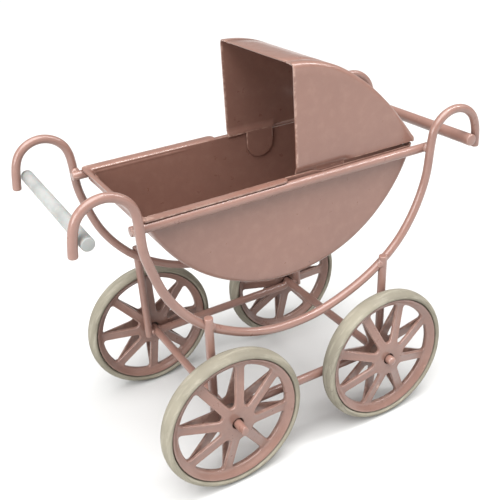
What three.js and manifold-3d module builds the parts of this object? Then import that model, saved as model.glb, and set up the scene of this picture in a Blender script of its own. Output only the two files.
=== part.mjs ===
// Doll stroller: two bent-rod side frames, a pressed-steel tub, a lift-off hood and four spoked wheels.
// Units are millimetres. +X is the hood end, +Y is the left side, +Z is up, the floor is z = 0.
// Lengths along X are laid out from midway between the axles, then the whole is moved by FRAME_SHIFT,
// which centres the bounding box on the origin and stands the tyres on the floor.
import * as THREE from 'three';
import Module from 'manifold-3d';

const manifold = await Module();
manifold.setup();

// ---- driving dimensions ----
const FRAME_SHIFT = [-1.45, 0, 0.8];
const GAP = 0.3; // clearance left wherever two pieces touch or are welded
const ROD_R = 2.38; // 3/16 in steel rod
const BAR_R = 3.2; // 1/4 in cross bars
const SHEET = 0.9; // pressed sheet steel
const END_ROUND = 0.5; // softened edge on a cut rod or bar end

const AXLE_X = 47.1; // each axle, fore and aft of the middle
const AXLE_Z = 38;
const FRONT_AXLE_HALF = 60.8;
const REAR_AXLE_HALF = 64.5;
const STAKE = { reach: 3.4, length: 1.8, thick: 2.2 }; // pinched ears on the rear axle's ends

const BOW_TOP = { y: 44.6, z: 158 }; // each side frame stands this far out at the crooks
const BOW_LEAN = 0.03; // and leans in by this much per millimetre down
const CROOK_REAR = { x: -94.9, z: 154.1, r: 14.2, from: 176, to: -2, tip: [-110.3, 145.0] };
const CROOK_FRONT = { x: 97.7, z: 150.8, r: 15.4, from: 184, to: 2, tip: [113.5, 142.0] };
const CROOK_STEPS = 6;
const BOW_BELLY = [ // x, z down the rear leg, under the tub and up the front leg
  [-79.8, 138.4], [-76.4, 125.6], [-71.4, 112.5], [-64.0, 100.9], [-54.3, 90.8], [-41.9, 82.5],
  [-27.1, 76.0], [-9.3, 72.5], [11.5, 73.5], [32.1, 79.4], [48.6, 87.9], [61.8, 98.4],
  [70.8, 109.9], [76.5, 121.1], [80.3, 133.2],
];

const RAIL_Y = 39.2;
const RAIL_Z = 147.0;
const RAIL_X = [-83.0, 86.4];
const POST_TOP = { y: 44.5, z: 94.6 };
const POST_FOOT = { y: 41.5, z: 36.2 };
const STRETCHER_Y = 43.8;
const STRETCHER_Z = 36.4;

const GRIP = { x: -103.8, z: 150.4, half: 46.8 };
const FRONT_BAR = { x: 107.2, z: 147.7, half: 48.3 };

const SIDE_Y = 35.6; // outer face of the tub's and the hood's flat sides
const FOLD_R = 2.6; // outside radius of the folded edges
const LIP_Y = 29.3; // where the turned-in lips end
const FOLD_TURNS = [0, 30, 60, 90]; // degrees round the fold
const TUB_ARC = { x: 1.6, z: 177.4, r: 81.9, from: -165, to: -15, steps: 30 };
const TUB_EDGE_Z = 149.4; // plain top edge of the sides under the hood
const FLANGE = { x: [-77.7, -1.8], y: 40.7, z: 149.7, corner: 2.8, cut: 0.84 }; // cut rounds the corner
const RIM_INNER = -74.5; // the rear rim's inner edge
const RIM_NECK = [-75.4, -73.3]; // where the rim and the flanges join the sheet below them

const HOOD_PROFILE = [ // x, z over the top of the hood, run on a little past both ends
  [-5.0, 204.5], [5.7, 204.3], [14.6, 203.6], [23.3, 201.7], [30.7, 198.9], [37.3, 195.3], [43.9, 190.8],
  [50.0, 186.1], [56.6, 180.1], [64.3, 172.0], [72.4, 162.1], [77.5, 155.1], [84.2, 145.3],
];
const HOOD_STEPS = 24;
const HOOD_CORNER = [[84.2, 140.0], [-5.0, 140.0]]; // beyond the lower corners, trimmed off later
const HOOD_X = [5.7, 80.2];
const HOOD_EDGE_Z = 150.2;
const TAB = { x: 25.8, half: 8.4, z: 142.5, joggle: 151.8 };
const TAB_TURNS = [0, -30, -60, -90, -120, -150, -180]; // degrees round the tab's foot

const WHEEL_Y = 51.6; // middle plane of each wheel
const WHEEL_SEGMENTS = 32;
const SPOKES = 8;
const TYRE_SECTION = [ // radius, distance from the middle plane; one half of the section
  [38.8, 0.9], [38.3, 2.7], [37.1, 4.1], [35.7, 4.8], [34.9, 4.6], [34.9, 2.7], [31.8, 0.7],
];
const DISC = { hole: 4.3, hub: 4.6, root: 10.6, notch: 9.4, tip: 26.4, corner: 29.2, seat: 30.2, edge: 34.6 };
const DISC_SEAT_OFFSET = 0.2; // half the space between the two pressings where they meet
const DISC_EDGE_OFFSET = 3.1; // how far the rim flares from the middle plane
const SPOKE_HALF = 2.65;
const CORNER_TURN = 13.6; // degrees from a window's middle to its rounded outer corner
const ARC_TURN = 9.6;
const HUB_TUBE = { inner: 3.1, outer: 5.6 };
const WHEEL_TURNS = { front_left: 7.0, front_right: 21.4, rear_left: 2.7, rear_right: 10.8 }; // degrees

const ROD_SIDES = 10;
const BOW_SIDES = 8;
const BOW_STEPS = 80;
const COLOUR = { enamel: 0xc49a8c, tyre: 0xaaa591, grip: 0xd9dcd6, hub: 0x7a6258 };

// ---- helpers ----
const radians = (degrees) => THREE.MathUtils.degToRad(degrees);
const polar = (r, angle) => [r * Math.cos(angle), r * Math.sin(angle)];

// merges shared points, so that the geometry is one closed solid
function toSolid(geometry) {
  const place = geometry.getAttribute('position');
  const index = geometry.index ? Array.from(geometry.index.array) : [...Array(place.count).keys()];
  const points = [];
  const seen = new Map();
  const weld = [...Array(place.count).keys()].map((i) => {
    const p = [place.getX(i), place.getY(i), place.getZ(i)];
    const key = p.map((v) => Math.round(v * 1e4) + 0).join(',');
    if (!seen.has(key)) {
      seen.set(key, points.length / 3);
      points.push(...p);
    }
    return seen.get(key);
  });
  const faces = [];
  for (let i = 0; i < index.length; i += 3) {
    const [a, b, c] = [0, 1, 2].map((k) => weld[index[i + k]]);
    if (a !== b && b !== c && c !== a) faces.push(a, b, c);
  }
  return new manifold.Manifold(new manifold.Mesh({
    numProp: 3, vertProperties: new Float32Array(points), triVerts: new Uint32Array(faces),
  }));
}

function toMesh(solid, name, color) {
  const body = solid.getMesh();
  const geometry = new THREE.BufferGeometry();
  geometry.setAttribute('position', new THREE.BufferAttribute(new Float32Array(body.vertProperties), 3));
  geometry.setIndex(Array.from(body.triVerts));
  geometry.translate(...FRAME_SHIFT);
  geometry.computeVertexNormals();
  const mesh = new THREE.Mesh(
    geometry, new THREE.MeshStandardMaterial({ color, metalness: 0.1, roughness: 0.5 }));
  mesh.name = name;
  return mesh;
}

function box([x0, x1], [y0, y1], [z0, z1]) {
  const block = new THREE.BoxGeometry(x1 - x0, y1 - y0, z1 - z0);
  return toSolid(block.translate((x0 + x1) / 2, (y0 + y1) / 2, (z0 + z1) / 2));
}

const shapeOf = (points) => new THREE.Shape(points.map(([u, v]) => new THREE.Vector2(u, v)));

// a polygon in (x, z) pushed along Y
function plateAlongY(points, [y0, y1]) {
  const plate = new THREE.ExtrudeGeometry(shapeOf(points), { depth: y1 - y0, bevelEnabled: false });
  return toSolid(plate.rotateX(Math.PI / 2).translate(0, y1, 0));
}

// a polygon in (x, y) pushed up Z
function plateAlongZ(points, [z0, z1]) {
  const plate = new THREE.ExtrudeGeometry(shapeOf(points), { depth: z1 - z0, bevelEnabled: false });
  return toSolid(plate.translate(0, 0, z0));
}

// a profile of (radius, y) turned about the Y direction through (x, z)
function turned(profile, { x, z }, segments) {
  const lathe = new THREE.LatheGeometry(profile.map(([r, y]) => new THREE.Vector2(r, y)), segments);
  return toSolid(lathe.translate(x, 0, z));
}

// a straight rod from 0 to length along +Y with softened ends
function rod(radius, length) {
  const e = END_ROUND;
  const profile = [
    [0, 0], [radius - e, 0], [radius, e], [radius, length - e], [radius - e, length], [0, length]];
  return new THREE.LatheGeometry(profile.map(([r, y]) => new THREE.Vector2(r, y)), ROD_SIDES);
}

const rodAlongX = ([x0, x1], y, z) => toSolid(
  rod(ROD_R, x1 - x0).rotateZ(-Math.PI / 2).translate(x0, y, z));
const rodAlongY = (radius, x, half, z) => toSolid(rod(radius, 2 * half).translate(x, -half, z));

const mirrored = (solid) => solid.mirror([0, 1, 0]);

// ---- side frames ----
function crookPoints({ x, z, r, from, to }) {
  return [...Array(CROOK_STEPS + 1).keys()].map((i) => {
    const [dx, dz] = polar(r, radians(from + ((to - from) * i) / CROOK_STEPS));
    return [x + dx, z + dz];
  });
}

const BOW_PATH = [
  CROOK_REAR.tip, ...crookPoints(CROOK_REAR), ...BOW_BELLY, ...crookPoints(CROOK_FRONT), CROOK_FRONT.tip,
];
const bowY = (z) => BOW_TOP.y + BOW_LEAN * (z - BOW_TOP.z);

function bowTube(radius) {
  const path = new THREE.CatmullRomCurve3(
    BOW_PATH.map(([x, z]) => new THREE.Vector3(x, bowY(z), z)), false, 'centripetal');
  const section = [...Array(BOW_SIDES).keys()].map((i) => polar(radius, (2 * Math.PI * i) / BOW_SIDES));
  return toSolid(new THREE.ExtrudeGeometry(shapeOf(section), { extrudePath: path, steps: BOW_STEPS }));
}

// each post stands outside its bow, leans in to the axle, and is notched round the bow, as the weld
// sinks the rods together
function post(x) {
  const [dy, dz] = [POST_TOP.y - POST_FOOT.y, POST_TOP.z - POST_FOOT.z];
  const upright = rod(ROD_R, Math.hypot(dy, dz)).rotateX(Math.atan2(dz, dy));
  return toSolid(upright.translate(x, POST_FOOT.y, POST_FOOT.z)).subtract(bowTube(ROD_R + GAP));
}

function rearAxle() {
  const earEnd = REAR_AXLE_HALF - END_ROUND;
  const ears = [-1, 1].map((side) => {
    const span = [side * earEnd, side * (earEnd - STAKE.length)].sort((a, b) => a - b);
    return box(
      [-AXLE_X - STAKE.thick / 2, -AXLE_X + STAKE.thick / 2], span,
      [AXLE_Z - STAKE.reach, AXLE_Z + STAKE.reach]);
  });
  return rodAlongY(ROD_R, -AXLE_X, REAR_AXLE_HALF, AXLE_Z).add(ears[0]).add(ears[1]);
}

// ---- pressed sheet ----
const TUB_LINE = [...Array(TUB_ARC.steps + 1).keys()].map((i) => {
  const turn = radians(TUB_ARC.to + ((TUB_ARC.from - TUB_ARC.to) * i) / TUB_ARC.steps);
  const [dx, dz] = polar(TUB_ARC.r, turn);
  return [TUB_ARC.x + dx, TUB_ARC.z + dz];
});
const HOOD_LINE = new THREE.SplineCurve(HOOD_PROFILE.map(([x, z]) => new THREE.Vector2(x, z)))
  .getSpacedPoints(HOOD_STEPS).map((point) => point.toArray());

// an open line in (x, z) moved inwards, to the right of its direction
function insetLine(line, distance) {
  return line.map(([x, z], i) => {
    const [a, b] = [line[Math.max(i - 1, 0)], line[Math.min(i + 1, line.length - 1)]];
    const length = Math.hypot(b[0] - a[0], b[1] - a[1]);
    return [x + ((b[1] - a[1]) / length) * distance, z - ((b[0] - a[0]) / length) * distance];
  });
}

// a closed section of (depth inside the line, y) carried along the line
function swept(section, line) {
  const rings = section.map(([depth]) => insetLine(line, depth));
  const at = (i, j) => {
    const k = j % section.length;
    return [rings[k][i][0], section[k][1], rings[k][i][1]];
  };
  const corners = [];
  for (let i = 0; i < line.length - 1; i += 1) {
    for (let j = 0; j < section.length; j += 1) {
      corners.push(at(i, j), at(i + 1, j), at(i, j + 1), at(i + 1, j), at(i + 1, j + 1), at(i, j + 1));
    }
  }
  const flat = section.map(([depth, y]) => new THREE.Vector2(depth, y));
  THREE.ShapeUtils.triangulateShape(flat, []).forEach(([a, b, c]) => {
    corners.push(...[c, b, a].map((j) => at(0, j)));
    corners.push(...[a, b, c].map((j) => at(line.length - 1, j)));
  });
  const geometry = new THREE.BufferGeometry();
  geometry.setAttribute('position', new THREE.BufferAttribute(new Float32Array(corners.flat()), 3));
  return toSolid(geometry);
}

// a flat side whose curved edge folds over and turns in as a lip; the left side; the plate runs on
// to the closing points
function foldedSide(line, closing) {
  const centre = [FOLD_R, SIDE_Y - FOLD_R];
  const bend = (radius) => FOLD_TURNS.map((turn) => [
    centre[0] - radius * Math.cos(radians(turn)), centre[1] + radius * Math.sin(radians(turn))]);
  const section = [
    [0, LIP_Y], ...bend(FOLD_R), [FOLD_R + SHEET, SIDE_Y],
    [FOLD_R + SHEET, SIDE_Y - SHEET], ...bend(FOLD_R - SHEET).reverse(), [SHEET, LIP_Y],
  ];
  const plate = plateAlongY([...insetLine(line, FOLD_R), ...closing], [SIDE_Y - SHEET, SIDE_Y]);
  return swept(section, line).add(plate);
}

// the curved strip between the lips: flush outside, its edges stepped in to lie behind the lips
function steppedBand(line) {
  const flush = LIP_Y - GAP;
  const edge = SIDE_Y - FOLD_R - GAP;
  const under = SHEET + GAP;
  const top = [
    [0, flush], [under, flush], [under, edge], [under + SHEET, edge], [under + SHEET, flush - GAP],
    [SHEET, flush - under]];
  return swept([...top, ...top.map(([depth, y]) => [depth, -y]).reverse()], line);
}

const REACH = 200;
const below = (z) => box([-REACH, REACH], [-REACH, REACH], [-REACH, z]);
const HOOD_SPACE = box(HOOD_X, [-REACH, REACH], [HOOD_EDGE_Z, HOOD_EDGE_Z + REACH]);

function tubSide() {
  const { x: [x0, x1], y, z, corner, cut } = FLANGE;
  const inner = SIDE_Y - SHEET;
  const outline = [
    [x0, inner], [x1, inner], [x1, y - corner], [x1 - cut, y - cut], [x1 - corner, y],
    [x0 + corner, y], [x0 + cut, y - cut], [x0, y - corner],
  ];
  const flange = plateAlongZ(outline, [z, z + SHEET]);
  const neck = box([RIM_NECK[1], x1], [inner, SIDE_Y], [z - SHEET, z + SHEET]);
  return foldedSide(TUB_LINE, []).intersect(below(TUB_EDGE_Z)).add(flange).add(neck);
}

function tubBand() {
  const inner = SIDE_Y - SHEET - GAP;
  const flush = LIP_Y - GAP;
  const { x: [outerX], z } = FLANGE;
  const rim = box([outerX, RIM_INNER], [-inner, inner], [z, z + SHEET]);
  const neck = box([RIM_NECK[0], RIM_INNER], [-flush, flush], [z - SHEET, z + SHEET]);
  return steppedBand(TUB_LINE).intersect(below(TUB_EDGE_Z)).add(rim).add(neck);
}

// the tab below each hood side is stepped in so that it drops inside the tub
function hoodSide() {
  const tabInner = SIDE_Y - 2 * SHEET - GAP;
  const tabArc = TAB_TURNS.map((turn) => {
    const [dx, dz] = polar(TAB.half, radians(turn));
    return [TAB.x + dx, TAB.z + dz];
  });
  const tab = plateAlongY(
    [...tabArc, [TAB.x - TAB.half, TAB.joggle], [TAB.x + TAB.half, TAB.joggle]],
    [tabInner, tabInner + SHEET]);
  const step = box(
    [TAB.x - TAB.half, TAB.x + TAB.half], [tabInner, SIDE_Y - SHEET / 2], [HOOD_EDGE_Z + GAP, TAB.joggle]);
  return foldedSide(HOOD_LINE, HOOD_CORNER).intersect(HOOD_SPACE).add(tab).add(step);
}

const hoodBand = () => steppedBand(HOOD_LINE).intersect(HOOD_SPACE);

// ---- wheels ----
const ring = (count, r, start = 0) => [...Array(count).keys()].map(
  (i) => polar(r, start + (2 * Math.PI * i) / count));

// distance of a pressing's inner face from the wheel's middle plane
function discOffset(r) {
  const { mapLinear } = THREE.MathUtils;
  if (r > DISC.seat) return mapLinear(r, DISC.seat, DISC.edge, DISC_SEAT_OFFSET, DISC_EDGE_OFFSET);
  return mapLinear(Math.max(r, DISC.notch), DISC.notch, DISC.seat, DISC.hub, DISC_SEAT_OFFSET);
}

// the flat pattern of a spoked pressing as triangles: hub, spokes and rim
function discPattern() {
  const step = (2 * Math.PI) / SPOKES;
  const turnTo = ([u, v], a) => [u * Math.cos(a) - v * Math.sin(a), u * Math.sin(a) + v * Math.cos(a)];
  const hubLoop = [];
  const rimLoop = [];
  const triangles = [];
  for (let k = 0; k < SPOKES; k += 1) {
    const spoke = k * step;
    const window = spoke + step / 2;
    const at = (d, v) => turnTo([d, v], spoke);
    const [rootA, rootB] = [at(DISC.root, -SPOKE_HALF), at(DISC.root, SPOKE_HALF)];
    const [tipA, tipB] = [at(DISC.tip, -SPOKE_HALF), at(DISC.tip, SPOKE_HALF)];
    triangles.push([rootA, tipA, tipB], [rootA, tipB, rootB]);
    hubLoop.push(rootA, rootB, polar(DISC.notch, window));
    const corner = (turn) => polar(DISC.corner, window + radians(turn));
    const seat = (turn) => polar(DISC.seat, window + radians(turn));
    rimLoop.push(tipA, tipB, corner(-CORNER_TURN));
    rimLoop.push(seat(-ARC_TURN), seat(0), seat(ARC_TURN), corner(CORNER_TURN));
  }
  const fill = (outer, hole) => {
    const [contour, inside] = [outer, [...hole].reverse()].map(
      (loop) => loop.map(([u, v]) => new THREE.Vector2(u, v)));
    const all = [...contour, ...inside];
    THREE.ShapeUtils.triangulateShape(contour, [inside]).forEach(
      (face) => triangles.push(face.map((i) => all[i].toArray())));
  };
  fill(hubLoop, ring(2 * SPOKES, DISC.hole));
  fill(ring(WHEEL_SEGMENTS, DISC.edge), rimLoop);
  return triangles;
}

// gives the flat pattern its dish and its thickness, on the +Y side of the middle plane
function pressedDisc() {
  const triangles = discPattern();
  const key = ([u, v]) => `${Math.round(u * 1e3) + 0},${Math.round(v * 1e3) + 0}`;
  const lift = ([u, v], thickness) => [u, discOffset(Math.hypot(u, v)) + thickness, v];
  const edges = new Map();
  const corners = [];
  triangles.forEach(([a, b, c]) => {
    corners.push(lift(a, 0), lift(b, 0), lift(c, 0), lift(a, SHEET), lift(c, SHEET), lift(b, SHEET));
    [[a, b], [b, c], [c, a]].forEach(([p, q]) => edges.set(`${key(p)};${key(q)}`, [p, q]));
  });
  edges.forEach(([p, q]) => {
    if (edges.has(`${key(q)};${key(p)}`)) return;
    corners.push(lift(p, 0), lift(q, SHEET), lift(q, 0), lift(p, 0), lift(p, SHEET), lift(q, SHEET));
  });
  const geometry = new THREE.BufferGeometry();
  geometry.setAttribute('position', new THREE.BufferAttribute(new Float32Array(corners.flat()), 3));
  return toSolid(geometry);
}

function tyre() {
  const other = TYRE_SECTION.map(([r, y]) => [r, -y]).reverse();
  const loop = [...other, ...TYRE_SECTION];
  return turned([...loop, loop[0]], { x: 0, z: 0 }, WHEEL_SEGMENTS);
}

function hubTube() {
  const half = DISC.hub - GAP;
  const { inner, outer } = HUB_TUBE;
  const loop = [[outer, -half], [outer, half], [inner, half], [inner, -half]];
  return turned([...loop, loop[0]], { x: 0, z: 0 }, 2 * SPOKES);
}

// ---- assembly ----
const stroller = new THREE.Group();
stroller.name = 'doll_stroller';
const add = (solid, name, color = COLOUR.enamel) => stroller.add(toMesh(solid, name, color));

const onSide = { left: (solid) => solid, right: mirrored };
Object.entries(onSide).forEach(([side, place]) => {
  add(place(bowTube(ROD_R)), `bow_${side}`);
  add(place(rodAlongX(RAIL_X, RAIL_Y, RAIL_Z)), `rail_${side}`);
  const between = AXLE_X - ROD_R - GAP;
  add(place(rodAlongX([-between, between], STRETCHER_Y, STRETCHER_Z)), `stretcher_${side}`);
  const postX = AXLE_X + 2 * ROD_R + GAP;
  add(place(post(postX)), `post_front_${side}`);
  add(place(post(-postX)), `post_rear_${side}`);
  add(place(tubSide()), `tub_side_${side}`);
  add(place(hoodSide()), `hood_side_${side}`);
});
add(rodAlongY(ROD_R, AXLE_X, FRONT_AXLE_HALF, AXLE_Z), 'axle_front');
add(rearAxle(), 'axle_rear');
add(rodAlongY(BAR_R, GRIP.x, GRIP.half, GRIP.z), 'push_grip', COLOUR.grip);
add(rodAlongY(BAR_R, FRONT_BAR.x, FRONT_BAR.half, FRONT_BAR.z), 'front_bar');
add(tubBand(), 'tub_band');
add(hoodBand(), 'hood_band');

const ENDS = { front: AXLE_X, rear: -AXLE_X };
Object.entries(ENDS).forEach(([end, x]) => {
  Object.entries({ left: 1, right: -1 }).forEach(([side, sign]) => {
    const place = (solid) => solid.translate(x, sign * WHEEL_Y, AXLE_Z);
    const disc = pressedDisc().rotate([0, WHEEL_TURNS[`${end}_${side}`], 0]);
    const outer = sign > 0 ? disc : mirrored(disc);
    add(place(tyre()), `tyre_${end}_${side}`, COLOUR.tyre);
    add(place(outer), `disc_outer_${end}_${side}`);
    add(place(mirrored(outer)), `disc_inner_${end}_${side}`);
    add(place(hubTube()), `hub_tube_${end}_${side}`, COLOUR.hub);
  });
});

export default stroller;
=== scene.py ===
"""The looks of the doll stroller: enamelled rods and pressed sheet, rubber tyres and a plastic grip."""

import math

import bmesh
import bpy
from mathutils import Matrix, Vector, geometry, noise


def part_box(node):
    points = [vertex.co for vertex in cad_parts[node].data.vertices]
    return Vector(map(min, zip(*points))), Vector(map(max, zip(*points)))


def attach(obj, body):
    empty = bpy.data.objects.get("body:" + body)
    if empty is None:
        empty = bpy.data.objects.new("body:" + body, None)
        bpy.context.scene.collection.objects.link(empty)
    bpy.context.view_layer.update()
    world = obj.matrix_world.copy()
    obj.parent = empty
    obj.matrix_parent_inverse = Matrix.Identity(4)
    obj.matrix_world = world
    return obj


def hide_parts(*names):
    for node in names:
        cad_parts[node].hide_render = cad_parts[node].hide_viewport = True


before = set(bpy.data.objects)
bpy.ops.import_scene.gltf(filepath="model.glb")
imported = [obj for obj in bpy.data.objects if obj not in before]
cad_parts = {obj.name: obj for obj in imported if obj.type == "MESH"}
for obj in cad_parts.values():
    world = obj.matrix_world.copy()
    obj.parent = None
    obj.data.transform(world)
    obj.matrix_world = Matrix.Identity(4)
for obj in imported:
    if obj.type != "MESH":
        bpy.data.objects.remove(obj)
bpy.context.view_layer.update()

noise.seed_set(3)  # otherwise noise_vector starts from the clock
MM = 0.001
SIDES = {"left": 1, "right": -1}
ENDS = {"front": 1, "rear": -1}
ALONG_X, ALONG_Y, ALONG_Z = range(3)
CAD_ROD_SIDES = 8
SAME_POINT = 1e-6  # metres


# ---- measuring the frame, in millimetres ----
def box_mm(node):
    low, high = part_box(node)
    return low / MM, high / MM


def middle(node):
    low, high = box_mm(node)
    return (low + high) / 2


def welded(node):
    """A copy of a CAD node's mesh with its doubled points joined."""
    mesh = bmesh.new()
    mesh.from_mesh(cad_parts[node].data)
    bmesh.ops.remove_doubles(mesh, verts=mesh.verts, dist=SAME_POINT)
    return mesh


def ring_centres(node, start):
    """The centreline of a bent CAD rod, found ring by ring from the end that is nearest to start."""
    mesh = welded(node)
    ring = sorted(mesh.verts, key=lambda v: (v.co / MM - start).length)[:CAD_ROD_SIDES]
    seen = set(ring)
    centres = []
    while ring:
        centres.append(sum((v.co for v in ring), Vector()) / len(ring) / MM)
        onward = []
        for other in (e.other_vert(v) for v in ring for e in v.link_edges):
            if other not in seen:
                seen.add(other)
                onward.append(other)
        ring = onward
    mesh.free()
    return centres


# ---- driving dimensions, in millimetres and degrees ----
SHEET = 0.9
SIDE_Y = 35.6  # outer face of the flat sides of the tub and the hood
FOLD_R = 2.6  # outside radius of their folded edges
LIP_Y = 29.3  # the folded lips end here, on either side of the middle
LIP_GAP = 0.3  # the seam between a lip and the curved strip
EDGE_SOFT = 0.22  # rounding of a cut sheet edge
CUT_ANGLE = 50  # a sheet's corners that are sharper than this are cut edges
# shares of the way from a flat side's fold to its cut edge, closer together near the edge
WALL_ROWS = (0.08, 0.18, 0.29, 0.4, 0.51, 0.62, 0.72, 0.8, 0.86, 0.9, 0.93, 0.96, 0.98, 1.0)
# how far hand-fed sheet waves, and over what length
WAVES = {"tub_wall": (0.28, 34), "tub_lip": (0.12, 30), "hood_wall": (0.25, 30), "hood_strip": (0.2, 30)}

ROD_R = (box_mm("axle_front")[1] - box_mm("axle_front")[0]).x / 2
ROD_SOFT = 0.5  # rounding of a cut rod end
ROD_SIDES = 24
BOW_WAVER = 0.12
POST_INSET = 0.1  # a post keeps this far inside its CAD box on either side
# the pinch in the rear axle's ends: its place and length, and its shares of the radius
PINCH = {"from_end": 1.2, "spread": 0.85, "wider": 0.3, "thinner": 0.5}
# half-sizes of the filled joints along X, Y and Z
BRAZE = {"rail": (2.6, 2.2, 2.6), "post": (2.7, 1.9, 2.8), "axle": (1.7, 2.5, 2.3),
         "stretcher": (1.6, 2.6, 2.3), "bar": (2.9, 1.6, 2.9)}

TUB_R = 81.9  # the tub's sides are arcs of this radius
TUB_ARC = {"start": -172, "sweep": 164}  # they run on above the edge at both ends, to be cut there
TUB_TOP_Z = box_mm("tub_side_left")[1].z
TUB_EDGE_Z = TUB_TOP_Z - 1.2  # where the hood's sides meet the tub's
TUB_STATIONS = 72  # steps along the side profile
TUB_FOOT = {"above": 0.45, "drop": 1.35, "lead": 0.4, "ramp": 1.2}  # the wall's edge, lower past the tab
FLANGE_WIDTH = 3.5  # at the rear
FLANGE_BEND = 2.6  # radius of the bend out of the wall
FLANGE_CORNER = 2.8  # radius of the rim's corners, seen from above
FLANGE_INNER = {"y": SIDE_Y - SHEET - 0.1, "corner": 1.6}  # its line inside the wall
FLANGE_END_X = box_mm("hood_side_left")[0].x - 7.5  # a little behind the hood's opening
FLANGE_ROOT = [(0.6, 3.2), (0.3, 1.8), (0.1, 0.6), (0.03, 0.0)]  # its foot: out, below the bend

HOOD_STATIONS = 60
HOOD_TAB = {"x": FLANGE_END_X + 27.6, "half": 8.4, "in": 1.2}  # stepped in, to drop inside the tub
TAB_STEP = [(1.4, 0.5), (0.3, 0.12), (-0.4, 0.0), (-1.2, 0.0)]  # above the hood's edge, short of the step
HOOD_TIP = {"blunt": 1.5, "clear": 1.2, "run": 16.0}  # the strip's front edge is dressed down to the tub
TUCK = {"height": 3.2, "run": 5.0, "deep": 0.6}  # the hood's foot is dressed in beside its tab
HOOD_FOOT = {"above": 0.35, "ramp": 0.8}  # the cut edge in front of the tab, over the strip's foot
STRIP_SET_BACK = {"tub": 1.7, "hood": 1.8}  # the strips' hidden margins stop short of the cut edge

SPOKES = 8
SPOKE_HALF = 2.5  # half of a spoke's width
DISC = {"hole": 3.1, "flat": 8.2, "notch": 10.0, "window": 30.3, "edge": 34.4}  # radii of a pressing
DISC_OFFSET = {"hub": 5.5, "window": 1.1, "edge": 4.0}  # outer face, from the wheel's middle plane
DISC_THICK = 1.45
DISC_APART = 0.12  # a pressing's back stays this far from the wheel's middle plane
DISC_SOFT = {"hub": 0.4, "rim": 0.6}  # rounding of its edges
DISC_POINTS = {"hub": 40, "flat": 48, "rim": 112}
CORNER_RUN = 1.9  # how far each window's rounded outer corners reach in
NOTCH_RUN = 1.2  # and its rounded inner end
# the rolled edge of a window: how far out into the metal, and how far up from the face
WINDOW_BEAD = [(1.2, 0.0), (0.95, 0.10), (0.65, 0.20), (0.35, 0.14), (0.12, -0.10), (0.0, -0.45)]
# how far round each wheel has rolled
WHEEL_TURNS = {"front_left": 7.0, "front_right": 21.4, "rear_left": 2.7, "rear_right": 10.8}
SLEEVE = {"bore": 3.1, "soft": 0.3, "segments": 48}  # a hub tube's radius inside, and its edges

TYRE_SEGMENTS = 120
TYRE_BEAD = [(34.9, 3.4), (34.9, 2.4), (31.8, 0.7)]  # radius, from the middle plane
TYRE_CROWN = [(35.0, 4.1), (35.5, 4.65), (36.3, 4.75), (37.3, 4.15), (38.15, 3.0), (38.65, 1.6), (38.8, 0.0)]
TYRE_WEAR = {"tread": 0.28, "width": 0.012, "from_radius": 35}  # the width's is a share of it
TREAD_R = 0.037  # metres, where the marks on the rubber are drawn true to size


# ---- lines ----
def smooth_line(points, between):
    """A Catmull-Rom curve through the points."""
    out = []
    for i in range(len(points) - 1):
        a, b = points[max(i - 1, 0)], points[i]
        c, d = points[i + 1], points[min(i + 2, len(points) - 1)]
        for k in range(between):
            t = k / between
            out.append(0.5 * (2 * b + (c - a) * t + (2 * a - 5 * b + 4 * c - d) * t ** 2
                              + (3 * b - a - 3 * c + d) * t ** 3))
    return out + [points[-1]]


def offset_line(line, distance):
    """An open line of (u, v) moved to the right of its direction."""
    out = []
    for i, point in enumerate(line):
        along = (line[min(i + 1, len(line) - 1)] - line[max(i - 1, 0)]).normalized()
        out.append(point + Vector((along.y, -along.x)) * distance)
    return out


def clip_line(line, depth_inside):
    """The run of the line where depth_inside is positive, cut exactly where it crosses zero."""
    out = []
    for a, b in zip(line, line[1:]):
        da, db = depth_inside(a), depth_inside(b)
        if da >= 0:
            out.append(a)
        if da * db < 0:
            out.append(a.lerp(b, da / (da - db)))
    if depth_inside(line[-1]) >= 0:
        out.append(line[-1])
    return out


def at_shares(line, shares):
    """Points at the given shares of the line's length."""
    lengths = [0.0]
    for a, b in zip(line, line[1:]):
        lengths.append(lengths[-1] + (b - a).length)
    out = []
    for share in shares:
        want = share * lengths[-1]
        i = max(1, next((k for k, s in enumerate(lengths) if s >= want - 1e-9), len(lengths) - 1))
        step = lengths[i] - lengths[i - 1]
        out.append(line[i - 1].lerp(line[i], (want - lengths[i - 1]) / step if step else 0))
    return out


def even(count):
    """Shares from 0 to 1 in equal steps."""
    return [i / count for i in range(count + 1)]


def ease(t):
    """0 to 1, with a soft start and end."""
    t = min(max(t, 0), 1)
    return t * t * (3 - 2 * t)


# ---- mesh work ----
def make_piece(name, points, faces, finish, body, nodes=(), inside=None, crease=38):
    """A mesh object, from points in mm, that rides on a body and stands for CAD nodes.

    finish is a material and its slot. inside is a point that an open sheet faces away from.
    """
    mesh = bpy.data.meshes.new(name)
    mesh.from_pydata([Vector(p) * MM for p in points], [], faces)
    work = bmesh.new()
    work.from_mesh(mesh)
    bmesh.ops.remove_doubles(work, verts=work.verts, dist=2 * SAME_POINT)
    bmesh.ops.recalc_face_normals(work, faces=work.faces)
    if inside is not None:
        lean = sum(f.normal.dot(f.calc_center_median() - inside * MM) * f.calc_area() for f in work.faces)
        if lean < 0:
            bmesh.ops.reverse_faces(work, faces=work.faces)
    work.to_mesh(mesh)
    work.free()
    material, slot = finish
    mesh.materials.append(material)
    mesh.shade_smooth()
    mesh.set_sharp_from_angle(angle=math.radians(crease))
    obj = bpy.data.objects.new(name, mesh)
    bpy.context.collection.objects.link(obj)
    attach(obj, body)
    if nodes:
        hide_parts(*nodes)
    return obj


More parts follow.
